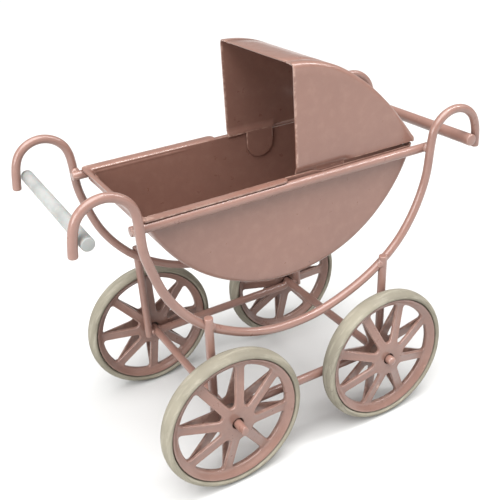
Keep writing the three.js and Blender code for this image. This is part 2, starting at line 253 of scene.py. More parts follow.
def thicken(obj):
    """Gives an open sheet its thickness on the side that it faces, with rounded cut edges."""
    solid = obj.modifiers.new("thickness", "SOLIDIFY")
    solid.thickness = SHEET * MM
    solid.offset = 1
    edge = obj.modifiers.new("edge", "BEVEL")
    edge.width = EDGE_SOFT * MM
    edge.segments = 3
    edge.limit_method = "ANGLE"
    edge.angle_limit = math.radians(CUT_ANGLE)
    graph = bpy.context.evaluated_depsgraph_get()
    made = bpy.data.meshes.new_from_object(obj.evaluated_get(graph))
    obj.modifiers.clear()
    obj.data = made
    made.shade_smooth()
    made.set_sharp_from_angle(angle=math.radians(CUT_ANGLE))


def grid_faces(rows, columns, closed=False):
    """Four-sided faces between rows of points. Closed rows join their last point to their first."""
    faces = []
    for i in range(rows - 1):
        for j in range(columns if closed else columns - 1):
            k = (j + 1) % columns
            a, b = i * columns, (i + 1) * columns
            faces.append((a + j, a + k, b + k, b + j))
    return faces


def grid(rows):
    """Points and faces of a sheet given as rows of points."""
    return [p for row in rows for p in row], grid_faces(len(rows), len(rows[0]))


def joined(*parts):
    """Several lots of points and faces as one."""
    points, faces = [], []
    for part_points, part_faces in parts:
        faces += [tuple(i + len(points) for i in face) for face in part_faces]
        points += list(part_points)
    return points, faces


def tube(path, radius, soft=ROD_SOFT, squeeze=None, dome=0.12):
    """A round rod along the path, with softened ends that stand out by dome.

    squeeze turns a distance from the nearer end into how much wider and thinner the rod is there.
    """
    ends = []
    for turn in (0, 30, 60):
        a = math.radians(turn)
        ends.append((soft * (1 - math.cos(a)), radius - soft + soft * math.sin(a)))
    first = (path[1] - path[0]).normalized()
    last = (path[-1] - path[-2]).normalized()
    rings = [(path[0] + first * back, r) for back, r in ends] + [(path[0] + first * soft, radius)]
    rings += [(p, radius) for p in path[1:-1]]
    rings += [(path[-1] - last * soft, radius)] + [(path[-1] - last * back, r) for back, r in reversed(ends)]
    tangents = [(rings[min(i + 1, len(rings) - 1)][0] - rings[max(i - 1, 0)][0]).normalized()
                for i in range(len(rings))]
    side = Vector((0, 0, 1)) if abs(tangents[0].z) < 0.5 else Vector((1, 0, 0))
    points = []
    for (centre, r), along in zip(rings, tangents):
        side = (side - along * side.dot(along)).normalized()
        other = along.cross(side)
        from_end = min((centre - path[0]).length, (centre - path[-1]).length)
        wide, thin = squeeze(from_end) if squeeze else (1, 1)
        for k in range(ROD_SIDES):
            a = 2 * math.pi * k / ROD_SIDES
            points.append(centre + side * (r * wide * math.cos(a)) + other * (r * thin * math.sin(a)))
    faces = grid_faces(len(rings), ROD_SIDES, closed=True)
    for ring_start, tip in ((0, path[0] - first * dome), (len(points) - ROD_SIDES, path[-1] + last * dome)):
        points.append(tip)
        top = len(points) - 1
        faces += [(top, ring_start + k, ring_start + (k + 1) % ROD_SIDES) for k in range(ROD_SIDES)]
    return points, faces


def straight(start, end, spacing=4.0, waver=0.06):
    """Points along a straight rod, very slightly uneven as worked wire is."""
    steps = max(2, round((end - start).length / spacing))
    out = []
    for i in range(steps + 1):
        p = start.lerp(end, i / steps)
        held = 0 if i in (0, steps) else waver
        out.append(p + noise.noise_vector(p * 0.05) * held)
    return out


def blob(centre, size, seed):
    """A filled brazed joint: a rounded, slightly uneven lump with half-sizes along X, Y and Z."""
    rows, columns = 12, 20
    rough = 0.16
    points = []
    for i in range(rows + 1):
        tilt = math.pi * i / rows
        for j in range(columns):
            a = 2 * math.pi * j / columns
            unit = Vector((math.sin(tilt) * math.cos(a), math.sin(tilt) * math.sin(a), math.cos(tilt)))
            swell = 1 + rough * noise.noise(unit * 1.7 + Vector((seed, 0, 0)))
            local = Vector((unit.x * size[0], unit.y * size[1], unit.z * size[2])) * swell
            points.append(centre + local)
    return points, grid_faces(rows + 1, columns, closed=True)


def waved(points, amount, size, along=ALONG_Y):
    """Points moved along one axis by a gentle, slow noise."""
    out = []
    for p in points:
        q = Vector(p)
        q[along] += amount * noise.noise(p / size)
        out.append(q)
    return out


# ---- shader helper ----
class Shader:
    """Short-hand for building one material's nodes."""

    def __init__(self, name):
        self.material = bpy.data.materials.new(name)
        self.material.use_nodes = True
        self.tree = self.material.node_tree
        self.out = self.tree.nodes["Principled BSDF"]
        self.place = self.node("ShaderNodeTexCoord").outputs["Object"]

    def node(self, kind, **settings):
        made = self.tree.nodes.new(kind)
        for key, value in settings.items():
            setattr(made, key, value)
        return made

    def link(self, source, target):
        self.tree.links.new(source, target)

    def noise(self, scale, detail, roughness=0.55, place=None):
        made = self.node("ShaderNodeTexNoise")
        made.inputs["Scale"].default_value = scale
        made.inputs["Detail"].default_value = detail
        made.inputs["Roughness"].default_value = roughness
        self.link(place or self.place, made.inputs["Vector"])
        return made.outputs["Fac"]

    def cells(self, scale, feature="F1", place=None):
        made = self.node("ShaderNodeTexVoronoi", feature=feature)
        made.inputs["Scale"].default_value = scale
        self.link(place or self.place, made.inputs["Vector"])
        return made.outputs["Distance"]

    def spread(self, source, low, high, to_low=0.0, to_high=1.0):
        """The source's run from low to high, eased into a run from to_low to to_high."""
        made = self.node("ShaderNodeMapRange", interpolation_type="SMOOTHSTEP")
        self.link(source, made.inputs["Value"])
        for key, value in zip(("From Min", "From Max", "To Min", "To Max"), (low, high, to_low, to_high)):
            made.inputs[key].default_value = value
        return made.outputs["Result"]

    def times(self, a, b):
        made = self.node("ShaderNodeMath", operation="MULTIPLY")
        for value, socket in zip((a, b), made.inputs):
            if isinstance(value, (int, float)):
                socket.default_value = value
            else:
                self.link(value, socket)
        return made.outputs[0]

    def mixed(self, share, a, b):
        made = self.node("ShaderNodeMix", data_type="RGBA")
        self.link(share, made.inputs["Factor"])
        for value, socket in ((a, made.inputs["A"]), (b, made.inputs["B"])):
            if isinstance(value, tuple):
                socket.default_value = (*value, 1)
            else:
                self.link(value, socket)
        return made.outputs["Result"]

    def ridges(self, low, high):
        """1 on sharp outside edges."""
        return self.spread(self.node("ShaderNodeNewGeometry").outputs["Pointiness"], low, high)

    def crevices(self, distance, low, high):
        """1 where surfaces within the distance, in mm, close in on each other: an ambient occlusion mask, for
        painting shade into crevices.
        """
        shade = self.node("ShaderNodeAmbientOcclusion", samples=8)
        shade.inputs["Distance"].default_value = distance * MM
        return self.spread(shade.outputs["AO"], high, low)

    def bump(self, *layers):
        """Layers of (height, distance in mm), the coarsest first."""
        normal = None
        for height, distance in layers:
            made = self.node("ShaderNodeBump")
            made.inputs["Distance"].default_value = distance * MM
            made.inputs["Strength"].default_value = 1.0
            self.link(height, made.inputs["Height"])
            if normal:
                self.link(normal, made.inputs["Normal"])
            normal = made.outputs["Normal"]
        self.link(normal, self.out.inputs["Normal"])


# ---- materials ----
WORN = (0.52, 0.355, 0.29)
# dark tone of the small specks, and of the painted shade in crevices
GRIME_AND_SHADE = (0.10, 0.055, 0.045)
# In both tone tables the crevice tone is painted shade, laid where ambient occlusion finds surfaces closing
# in.
TYRE_TONES = {"pale": (0.232, 0.212, 0.163), "grey": (0.176, 0.16, 0.124), "rubbed": (0.37, 0.348, 0.283),
              "painted_shade": (0.13, 0.105, 0.08), "crack": (0.14, 0.12, 0.09)}
GRIP_TONES = {"white": (0.32, 0.325, 0.315), "grey": (0.235, 0.243, 0.236), "mark": (0.40, 0.39, 0.36),
              "painted_shade": (0.28, 0.25, 0.22), "end": (0.28, 0.29, 0.28)}
TUBE_TONES = {"paint": (0.20, 0.125, 0.10), "bare": (0.11, 0.08, 0.07)}


def enamel(name, base, deep, wave):
    """Old dusty-pink enamel: uneven depth of colour, thin on edges, painted shade in the corners, small
    chips.
    """
    s = Shader(name)
    clouds = s.spread(s.noise(22, 5), 0.3, 0.72)
    colour = s.mixed(clouds, base, deep)
    mottle = s.spread(s.noise(170, 5, 0.6), 0.4, 0.8, 0.0, 0.07)
    colour = s.mixed(mottle, colour, WORN)
    edges = s.times(s.ridges(0.515, 0.60), s.spread(s.noise(320, 4), 0.38, 0.62))
    colour = s.mixed(s.times(edges, 0.55), colour, WORN)
    # painted shade: darker where ambient occlusion finds crevices, broken up by noise
    crevice_shade = s.times(s.crevices(2.6, 0.25, 0.8), s.spread(s.noise(90, 5), 0.25, 0.65, 0.35, 1.0))
    colour = s.mixed(s.times(crevice_shade, 0.75), colour, GRIME_AND_SHADE)
    specks = s.times(s.spread(s.cells(105), 0.045, 0.03), s.spread(s.noise(33, 2), 0.60, 0.64))
    colour = s.mixed(s.times(specks, 0.8), colour, GRIME_AND_SHADE)
    s.link(colour, s.out.inputs["Base Color"])
    s.link(s.spread(s.noise(140, 5, 0.65), 0.3, 0.75, 0.27, 0.46), s.out.inputs["Roughness"])
    s.out.inputs["Specular IOR Level"].default_value = 0.5
    s.out.inputs["Coat Weight"].default_value = 0.55
    s.out.inputs["Coat Roughness"].default_value = 0.13
    s.bump((s.noise(42, 2), wave), (s.noise(650, 3), 0.035), (s.noise(2600, 2), 0.012))
    return s.material


def rubber():
    """Aged off-white rubber: greyed, with painted shade on the shoulders, where they close in on other
    surfaces, and fine cracks that run round it.
    """
    s = Shader("tyre_rubber")
    skin = s.node("ShaderNodeAttribute", attribute_name="skin").outputs["Vector"]
    clouds = s.spread(s.noise(30, 5), 0.35, 0.7)
    colour = s.mixed(clouds, TYRE_TONES["pale"], TYRE_TONES["grey"])
    streaks = s.spread(s.noise(60, 6, 0.65, skin), 0.45, 0.72, 0.0, 0.6)
    colour = s.mixed(streaks, colour, TYRE_TONES["rubbed"])
    # painted shade: darker where ambient occlusion finds crevices, broken up by noise
    crevice_shade = s.times(s.crevices(3.0, 0.2, 0.85), s.spread(s.noise(120, 5), 0.3, 0.6, 0.3, 1.0))
    colour = s.mixed(s.times(crevice_shade, 0.7), colour, TYRE_TONES["painted_shade"])
    where = s.spread(s.noise(22, 2), 0.52, 0.66)
    cracks = s.times(s.spread(s.cells(70, "DISTANCE_TO_EDGE", skin), 0.035, 0.0), where)
    colour = s.mixed(s.times(cracks, 0.5), colour, TYRE_TONES["crack"])
    s.link(colour, s.out.inputs["Base Color"])
    s.link(s.spread(s.noise(160, 4), 0.3, 0.7, 0.62, 0.85), s.out.inputs["Roughness"])
    s.out.inputs["Specular IOR Level"].default_value = 0.3
    deep = s.spread(cracks, 0.0, 1.0, 1.0, 0.0)
    s.bump((s.noise(110, 4), 0.12), (deep, 0.10), (s.noise(900, 3, 0.6, skin), 0.04))
    return s.material


def milky_plastic():
    """White plastic rod, a little see-through, with greyed rubbed patches."""
    s = Shader("grip_plastic")
    clouds = s.spread(s.noise(55, 5, 0.6), 0.35, 0.7)
    colour = s.mixed(clouds, GRIP_TONES["white"], GRIP_TONES["grey"])
    marks = s.times(s.spread(s.noise(260, 5, 0.7), 0.58, 0.7), 0.35)
    colour = s.mixed(marks, colour, GRIP_TONES["mark"])
    # painted shade: darker where ambient occlusion finds crevices
    crevice_shade = s.crevices(3.0, 0.2, 0.8)
    colour = s.mixed(s.times(crevice_shade, 0.6), colour, GRIP_TONES["painted_shade"])
    across = s.node("ShaderNodeSeparateXYZ")
    s.link(s.place, across.inputs["Vector"])
    size = s.node("ShaderNodeMath", operation="ABSOLUTE")
    s.link(across.outputs["Y"], size.inputs[0])
    half = box_mm("push_grip")[1].y * MM
    on_end = s.spread(size.outputs[0], half - 0.5 * MM, half - 0.2 * MM)
    colour = s.mixed(on_end, colour, GRIP_TONES["end"])
    s.link(colour, s.out.inputs["Base Color"])
    s.link(s.spread(s.noise(180, 4), 0.3, 0.7, 0.28, 0.5), s.out.inputs["Roughness"])
    s.out.inputs["Subsurface Weight"].default_value = 0.25
    s.out.inputs["Subsurface Scale"].default_value = 2.0 * MM
    s.bump((s.noise(90, 3), 0.06), (s.noise(1100, 3), 0.02))
    return s.material


def dark_tube():
    """The hub tubes: thinly painted steel, rubbed dark by the axle."""
    s = Shader("hub_tube_paint")
    clouds = s.spread(s.noise(150, 5), 0.4, 0.65)
    colour = s.mixed(clouds, TUBE_TONES["paint"], TUBE_TONES["bare"])
    s.link(colour, s.out.inputs["Base Color"])
    s.link(s.spread(s.noise(300, 4), 0.3, 0.7, 0.4, 0.65), s.out.inputs["Roughness"])
    s.out.inputs["Metallic"].default_value = 0.25
    s.bump((s.noise(500, 3), 0.05), (s.noise(2200, 2), 0.015))
    return s.material


# each finish is a material and the record's slot for it
ROD = (enamel("enamel_rods", (0.243, 0.133, 0.106), (0.205, 0.110, 0.087), 0.10), "enamel")
PLATE = (enamel("enamel_plate", (0.216, 0.111, 0.084), (0.198, 0.101, 0.077), 0.12), "enamel_sheet")
PRESSING = (enamel("enamel_wheel", (0.217, 0.121, 0.095), (0.184, 0.10, 0.079), 0.12), "enamel_wheel")
RUBBER = (rubber(), "tyre")
PLASTIC = (milky_plastic(), "grip")
TUBE = (dark_tube(), "hub_tube")


# ---- side frames ----
def bow_centres(side):
    """The centreline of a side bow's CAD rod, from the tip of its rear crook."""
    node = f"bow_{side}"
    start = Vector((box_mm(node)[0].x, middle(node).y, middle("push_grip").z - 6))
    return ring_centres(node, start)


def build_bow(side):
    path = smooth_line(bow_centres(side), 4)
    inner = [p + noise.noise_vector(p * 0.04) * BOW_WAVER for p in path[1:-1]]
    points, faces = tube([path[0], *inner, path[-1]], ROD_R, soft=0.8)
    make_piece(f"bow_rod_{side}", points, faces, ROD, "chassis", [f"bow_{side}"])


def build_rod(node, axis, finish=ROD, soft=ROD_SOFT, squeeze=None, dome=0.12):
    """A straight rod along one axis, from its CAD node's box. A squeezed rod's box is wider than the rod."""
    low, high = box_mm(node)
    start, end = (low + high) / 2, (low + high) / 2
    start[axis], end[axis] = low[axis], high[axis]
    size = high - low
    radius = ROD_R if squeeze else max(size[k] for k in range(3) if k != axis) / 2
    points, faces = tube(straight(start, end), radius, soft, squeeze, dome)
    make_piece(f"{node}_rod", points, faces, finish, "chassis", [node])


def build_post(end, side):
    """A post leans in from the bow's outer face to the axle. Its top is cut square."""
    node = f"post_{end}_{side}"
    low, high = box_mm(node)
    sign = SIDES[side]
    x = (low.x + high.x) / 2
    outer = high.y if sign > 0 else low.y
    inner = low.y if sign > 0 else high.y
    top = Vector((x, outer - sign * (ROD_R + POST_INSET), high.z))
    foot = Vector((x, inner + sign * (ROD_R + POST_INSET), low.z))
    points, faces = tube(straight(foot, top), ROD_R, soft=0.35)
    make_piece(f"{node}_rod", points, faces, ROD, "chassis", [node])


def axle_pinch(distance):
    """The rear axle's ends are pinched into two ears that keep the wheel on."""
    near = math.exp(-((distance - PINCH["from_end"]) / PINCH["spread"]) ** 2)
    return 1 + PINCH["wider"] * near, 1 - PINCH["thinner"] * near


def build_axles():
    build_rod("axle_front", ALONG_Y, soft=1.3, dome=0.35)
    build_rod("axle_rear", ALONG_Y, soft=0.45, squeeze=axle_pinch, dome=0.0)


def rail_joints(rail, legs):
    """Where a rail crosses the bow's two legs."""
    lumps = []
    for fore in (-1, 1):
        leg = min((p for p in legs if p.x * fore > 0), key=lambda p: abs(p.z - rail.z))
        spot = (leg + Vector((leg.x, rail.y, rail.z))) / 2
        lumps.append(blob(spot, BRAZE["rail"], leg.x))
    return lumps


def post_joints(end, side, crossings):
    """Where a post meets the bow and the axle, and the stretcher meets the axle: lumps in their corners."""
    low, high = box_mm(f"post_{end}_{side}")
    sign, fore = SIDES[side], ENDS[end]
    x = (low.x + high.x) / 2
    axle = middle(f"axle_{end}")
    stretcher = middle(f"stretcher_{side}")
    crossing = min(crossings, key=lambda p: abs(p.x - x))
    on_bow = crossing + Vector((0, sign * 1.9, 0.4))
    on_axle = Vector((x - fore * 2.3, sign * (abs(low.y + high.y) / 2 - 1.2), axle.z))
    on_stretcher = Vector((axle.x - fore * 2.6, stretcher.y, stretcher.z + 0.6))
    return [blob(on_bow, BRAZE["post"], x), blob(on_axle, BRAZE["axle"], x + 3),
            blob(on_stretcher, BRAZE["stretcher"], x + 7)]


def build_joints():
    """Brazed joints between the rods, each a filled corner of paint and metal."""
    lumps = []
    for side, sign in SIDES.items():
        rail = middle(f"rail_{side}")
        rail_low, rail_high = box_mm(f"rail_{side}")
        path = bow_centres(side)
        legs = [p for p in path if rail_low.x - 1 < p.x < rail_high.x + 1]
        below_rail = [p for p in legs if p.z < rail.z - 20]
        lumps += rail_joints(rail, legs)
        for end in ENDS:
            lumps += post_joints(end, side, below_rail)
        for node in ("push_grip", "front_bar"):
            bar = middle(node)
            spot = Vector((bar.x, sign * (abs(path[0].y) - 1.6), bar.z))
            lumps.append(blob(spot, BRAZE["bar"], bar.x + sign))
    points, faces = joined(*lumps)
    make_piece("brazed_joints", points, faces, ROD, "chassis")


# ---- sheet parts ----
def folded_side(sign, line, count, room, edge_at):
    """The inner face of a flat side whose curved edge folds over and ends in a lip: rows of points."""
    y = SIDE_Y - SHEET
    bend = FOLD_R - SHEET
    section = [(SHEET, LIP_Y), (SHEET, LIP_Y + 1.6), (SHEET, y - bend)]
    for turn in (22.5, 45, 67.5):
        a = math.radians(turn)
        section.append((FOLD_R - bend * math.cos(a), y - bend + bend * math.sin(a)))
    section.append((FOLD_R, y))
    rows = []
    for depth, across in section:
        run = at_shares(clip_line(offset_line(line, depth), room), even(count))
        rows.append([Vector((p.x, sign * across, p.y)) for p in run])
    last = rows[-1]
    for share in WALL_ROWS:
        rows.append([Vector((p.x, sign * y, p.z + (edge_at(p.x) - p.z) * share)) for p in last])
    return rows


def strip_rows(line, count, room, set_back):
    """The inner face of the curved strip between two flat sides. Its margins step in behind their lips."""
    flush = LIP_Y - LIP_GAP
    hidden = SHEET + LIP_GAP + SHEET
    # (depth below the sides' edge, distance from the middle), from the hidden margin to the open face
    half = [(hidden, flush + 3.6), (hidden, flush + 0.2), (hidden - 0.5, flush - 0.4), (SHEET, flush - 1.2),
            (SHEET, flush - 9), (SHEET, flush - 19)]
    rows = []
    for depth, across in half + [(depth, -y) for depth, y in reversed(half)]:
        back = set_back if depth > SHEET else 0
        run = at_shares(clip_line(offset_line(line, depth), lambda p: room(p, back)), even(count))
        rows.append([Vector((p.x, across, p.y)) for p in run])
    return rows


def tub_line():
    """The tub's side profile, an arc that runs on a little above the edge at both ends."""
    low, high = box_mm("tub_side_left")
    centre_z = low.z + TUB_R
    centre_x = high.x - math.sqrt(TUB_R ** 2 - (centre_z - TUB_EDGE_Z) ** 2)
    turns = [math.radians(TUB_ARC["start"] + TUB_ARC["sweep"] * s) for s in even(240)]
    return [Vector((centre_x + TUB_R * math.cos(a), centre_z + TUB_R * math.sin(a))) for a in reversed(turns)]


def build_tub():
    line = tub_line()
    inside = Vector((0, 0, TUB_EDGE_Z - 20))
    tab_back = HOOD_TAB["x"] - HOOD_TAB["half"]

    def room(p, back=0):
        return TUB_EDGE_Z - back - p.y

    def worn_edge(x):
        past_tab = min(max((x - tab_back + TUB_FOOT["lead"]) / TUB_FOOT["ramp"], 0), 1)
        return TUB_EDGE_Z + TUB_FOOT["above"] - TUB_FOOT["drop"] * past_tab

    for side, sign in SIDES.items():
        points, faces = grid(folded_side(sign, line, TUB_STATIONS, room, worn_edge))
        wall = make_piece(f"tub_wall_{side}", waved(points, *WAVES["tub_wall"]), faces, PLATE, "chassis",
                          [f"tub_side_{side}"], inside)
        thicken(wall)
    points, faces = grid(strip_rows(line, TUB_STATIONS, room, STRIP_SET_BACK["tub"]))
    strip = make_piece("tub_strip", points, faces, PLATE, "chassis", ["tub_band"], inside)
    thicken(strip)
    build_tub_lip()


def lip_corner(rim_x, rim_y):
    """Stations round the flange's rear corner on the left, from the side to the rear."""
    inner_r = FLANGE_INNER["corner"]
    inner_middle = Vector((rim_x + FLANGE_WIDTH + inner_r, FLANGE_INNER["y"] - inner_r))
    outer_middle = Vector((rim_x + FLANGE_CORNER, rim_y - FLANGE_CORNER))
    stations = []
    for turn in (90, 105, 120, 135, 150, 165, 180):
        a = math.radians(turn)
        way = Vector((math.cos(a), math.sin(a)))
        stations.append((inner_middle + way * inner_r, way, outer_middle + way * FLANGE_CORNER))
    return stations


def lip_side(rim_x, rim_y):
    """Stations along the left side, from the flange's rounded front end to its rear corner."""
    run = []
    for back in (0, 0.15, 0.5, 1.1, 1.9, 2.8):
        gap = FLANGE_CORNER - back
        reach = rim_y - FLANGE_CORNER + math.sqrt(max(FLANGE_CORNER ** 2 - gap ** 2, 0))
        run.append((FLANGE_END_X - back, reach))
    length = FLANGE_END_X - FLANGE_CORNER - (rim_x + FLANGE_CORNER)
    run += [(FLANGE_END_X - FLANGE_CORNER - length * s, rim_y) for s in even(30)[1:]]
    return [(Vector((x, FLANGE_INNER["y"])), Vector((0, 1)), Vector((x, reach))) for x, reach in run]


def lip_stations():
    """(inner point, outward direction, outer point) round the tub's turned-out lip, in plan."""
    low, high = box_mm("tub_side_left")
    half = lip_side(low.x, high.y) + lip_corner(low.x, high.y)[1:]
    rear = []
    for s in even(16)[1:-1]:
        y = (FLANGE_INNER["y"] - FLANGE_INNER["corner"]) * (1 - 2 * s)
        rear.append((Vector((low.x + FLANGE_WIDTH, y)), Vector((-1, 0)), Vector((low.x, y))))
    mirrored = [tuple(Vector((v.x, -v.y)) for v in station) for station in reversed(half)]
    return half + rear + mirrored


def build_tub_lip():
    """The lip turned out along both sides and round the rear of the tub, bent over from the walls."""
    stations = lip_stations()
    profile = [(out, -FLANGE_BEND - below) for out, below in FLANGE_ROOT]
    for turn in (20, 45, 70, 90):
        a = math.radians(turn)
        profile.append((FLANGE_BEND * (1 - math.cos(a)), FLANGE_BEND * (math.sin(a) - 1)))
    rows = []
    for out, up in profile:
        rows.append([(p + way * out).to_3d() + Vector((0, 0, TUB_TOP_Z + up)) for p, way, _ in stations])
    top = Vector((0, 0, TUB_TOP_Z))
    for share in (0.35, 0.7, 1.0):
        rows.append([(p + way * FLANGE_BEND).lerp(q, share).to_3d() + top for p, way, q in stations])
    points, faces = grid(rows)
    above = Vector((0, 0, 400))
    points = waved(points, *WAVES["tub_lip"], along=ALONG_Z)
    lip = make_piece("tub_lip", points, faces, PLATE, "chassis", inside=above)
    thicken(lip)


def hood_line():
    """The hood's side profile, taken from the inner edge of its curved CAD strip.

    It runs on past the opening and past the foot, to be cut there.
    """
    mesh = welded("hood_band")
    inner_y = (LIP_Y - LIP_GAP - SHEET - LIP_GAP) * MM
    spots = [v.co / MM for v in mesh.verts if abs(v.co.y - inner_y) < 0.05 * MM]
    mesh.free()
    spots.sort(key=lambda p: p.x - p.z)
    line = smooth_line([Vector((p.x, p.z)) for p in spots], 6)
    outer = offset_line(line, -SHEET)
    lead_in = outer[0] + (outer[0] - outer[3]).normalized() * 6
    tip = Vector((box_mm("hood_side_left")[1].x, box_mm("hood_band")[0].z + HOOD_TIP["blunt"]))
    swell = tip.x - min(outer, key=lambda p: abs(p.y - tip.y)).x
    kept = []
    for p in outer:
        if p.y > tip.y + HOOD_TIP["clear"]:
            near_tip = 1 - min((p.y - tip.y) / HOOD_TIP["run"], 1)
            kept.append(p + Vector((swell * near_tip ** 2, 0)))
    past_foot = tip - Vector((0, 8))
    return [lead_in, *kept, tip, past_foot]


def tucked(rows, sign, foot_z, tab_front):
    """Moves the foot of a hood side inward, from its opening to the tab's front, onto the tab."""
    for row in rows:
        for p in row:
            near_foot = 1 - ease((p.z - foot_z) / TUCK["height"])
            p.y -= sign * HOOD_TAB["in"] * near_foot * (1 - ease((p.x - tab_front) / TUCK["run"]))
    return rows


def build_hood():
    line = hood_line()
    low, _ = box_mm("hood_band")
    inside = Vector((low.x + 10, 0, low.z))
    tab_front = HOOD_TAB["x"] + HOOD_TAB["half"]

    def room(p, back=0):
        return min(p.x - low.x - back, p.y - low.z)

    def foot_at(x):
        behind_tab = 1 - ease((x - tab_front + HOOD_FOOT["ramp"]) / HOOD_FOOT["ramp"])
        return low.z + HOOD_FOOT["above"] - (TUCK["deep"] + HOOD_FOOT["above"]) * behind_tab

    for side, sign in SIDES.items():
        rows = tucked(folded_side(sign, line, HOOD_STATIONS, room, foot_at), sign, low.z, tab_front)
        points, faces = grid(rows)
        wall = make_piece(f"hood_wall_{side}", waved(points, *WAVES["hood_wall"]), faces, PLATE, "hood",
                          [f"hood_side_{side}"], inside)
        thicken(wall)
        build_tab(side, sign, low.z, inside)
    points, faces = grid(strip_rows(line, HOOD_STATIONS, room, STRIP_SET_BACK["hood"]))
    points = waved(points, *WAVES["hood_strip"], along=ALONG_Z)
    strip = make_piece("hood_strip", points, faces, PLATE, "hood", ["hood_band"], inside)
    thicken(strip)


def build_tab(side, sign, edge_z, inside):
    """The round-ended tab that drops inside the tub's wall."""
    foot = box_mm(f"hood_side_{side}")[0].z
    x, half, step = HOOD_TAB["x"], HOOD_TAB["half"], HOOD_TAB["in"]
    y = SIDE_Y - SHEET
    rows = []
    for up, short in TAB_STEP:
        rows.append([Vector((x + half * math.cos(math.pi * s), sign * (y - (step - short)), edge_z + up))
                     for s in even(24)])
    top = edge_z + TAB_STEP[-1][0]
    for share in (0.3, 0.6, 0.85, 1.0):
        row = []
        for s in even(24):
            a = math.pi * s
            deep = foot + half * (1 - math.sin(a))
            row.append(Vector((x + half * math.cos(a), sign * (y - step), top + (deep - top) * share)))
        rows.append(row)
    points, faces = grid(rows)
    tab = make_piece(f"hood_tab_{side}", points, faces, PLATE, "hood", inside=inside)
    thicken(tab)


# ---- wheels ----
def disc_height(r):
    """The outer face of a pressing, as a distance from the wheel's middle plane."""
    hub, window, edge = DISC_OFFSET["hub"], DISC_OFFSET["window"], DISC_OFFSET["edge"]
    if r <= DISC["flat"]:
        return hub
    if r <= DISC["window"]:
        t = (r - DISC["flat"]) / (DISC["window"] - DISC["flat"])
        return hub + (window - hub) * (0.85 * t + 0.15 * ease(t))
    t = (r - DISC["window"]) / (DISC["edge"] - DISC["window"])
    return window + (edge - window) * (0.4 * t + 0.6 * ease(t))


def on_face(p, drop=0.0):
    return Vector((p.x, disc_height(p.length) - drop, p.y))


def on_back(p):
    return Vector((p.x, max(disc_height(p.length) - DISC_THICK, DISC_APART), p.y))


def window_loop(index, grow=0.0):
    """The outline of one window between spokes, grown outwards into the metal by grow."""
    step = 2 * math.pi / SPOKES
    half = step / 2
    inner = DISC["notch"] - grow
    outer = DISC["window"] + grow
    edge = SPOKE_HALF - grow

    def spoke_at(r):
        """The angle from the window's middle to its spoke's edge."""
        return half - math.asin(edge / r)

    start = inner + NOTCH_RUN
    near = spoke_at(start)
    side = [(inner, 0.0), (inner + 0.25, near * 0.6), (start, near * 0.95)]
    for share in even(8)[1:]:
        r = start + (outer - CORNER_RUN - start) * share
        side.append((r, spoke_at(r)))
    for turn in (22.5, 45, 67.5, 90):
        a = math.radians(turn)
        r = outer - CORNER_RUN * (1 - math.sin(a))
        side.append((r, spoke_at(r) - CORNER_RUN / outer * (1 - math.cos(a))))
    last = side[-1][1]
    for share in (0.7, 0.35):
        side.append((outer, last * share))
    loop = side + [(outer, 0.0)] + [(r, -a) for r, a in reversed(side[1:])]
    centre = index * step + half
    return [Vector((r * math.cos(centre + a), r * math.sin(centre + a))) for r, a in loop]


def circle(r, count):
    turns = [2 * math.pi * k / count for k in range(count)]
    return [Vector((r * math.cos(a), r * math.sin(a))) for a in turns]


def in_loop(point, loop):
    hit = False
    for a, b in zip(loop, loop[1:] + loop[:1]):
        if (a.y > point.y) != (b.y > point.y):
            if point.x < a.x + (point.y - a.y) * (b.x - a.x) / (b.y - a.y):
                hit = not hit
    return hit


def filled(outer, holes, circles, seeds):
    """Triangles that fill the space inside outer and outside the holes, as points and faces."""
    points, edges = [], []
    for loop in [outer, *holes, *circles]:
        start = len(points)
        points += loop
        edges += [(start + i, start + (i + 1) % len(loop)) for i in range(len(loop))]
    points += seeds
    verts, _, faces, *_ = geometry.delaunay_2d_cdt(points, edges, [], 1, SAME_POINT)
    kept = []
    for face in faces:
        spot = sum((verts[i] for i in face), Vector((0, 0))) / len(face)
        if not any(in_loop(spot, hole) for hole in holes):
            kept.append(tuple(face))
    return list(verts), kept


def spoke_seeds():
    """Points along the spokes that keep the triangles even, in pairs where a spoke is wide enough."""
    seeds = []
    for k in range(SPOKES):
        a = 2 * math.pi * k / SPOKES
        along = Vector((math.cos(a), math.sin(a)))
        across = Vector((-math.sin(a), math.cos(a)))
        for r in (10.5, 13, 16, 19, 22, 25, 27.5, 29.2, 30.3):
            for off in ((-0.6, 0.6) if 12 < r < 28 else (0,)):
                seeds.append(along * r + across * off)
    return seeds


def disc_walls():
    """The rolled edges of the windows, the hub hole and the rim, as loops from the face to the back."""
    walls = []
    for k in range(SPOKES):
        wall = [[on_face(p, -up) for p in window_loop(k, out)] for out, up in WINDOW_BEAD]
        wall.append([on_back(p) for p in window_loop(k)])
        walls.append(wall)
    for ring, radius, away in (("hub", DISC["hole"], 1), ("rim", DISC["edge"], -1)):
        soft, count = DISC_SOFT[ring], DISC_POINTS[ring]
        wall = []
        for turn in (0, 30, 60, 90):
            a = math.radians(turn)
            grown = circle(radius + away * soft * (1 - math.sin(a)), count)
            wall.append([on_face(p, soft * (1 - math.cos(a))) for p in grown])
        wall.append([on_back(p) for p in circle(radius, count)])
        walls.append(wall)
    return walls


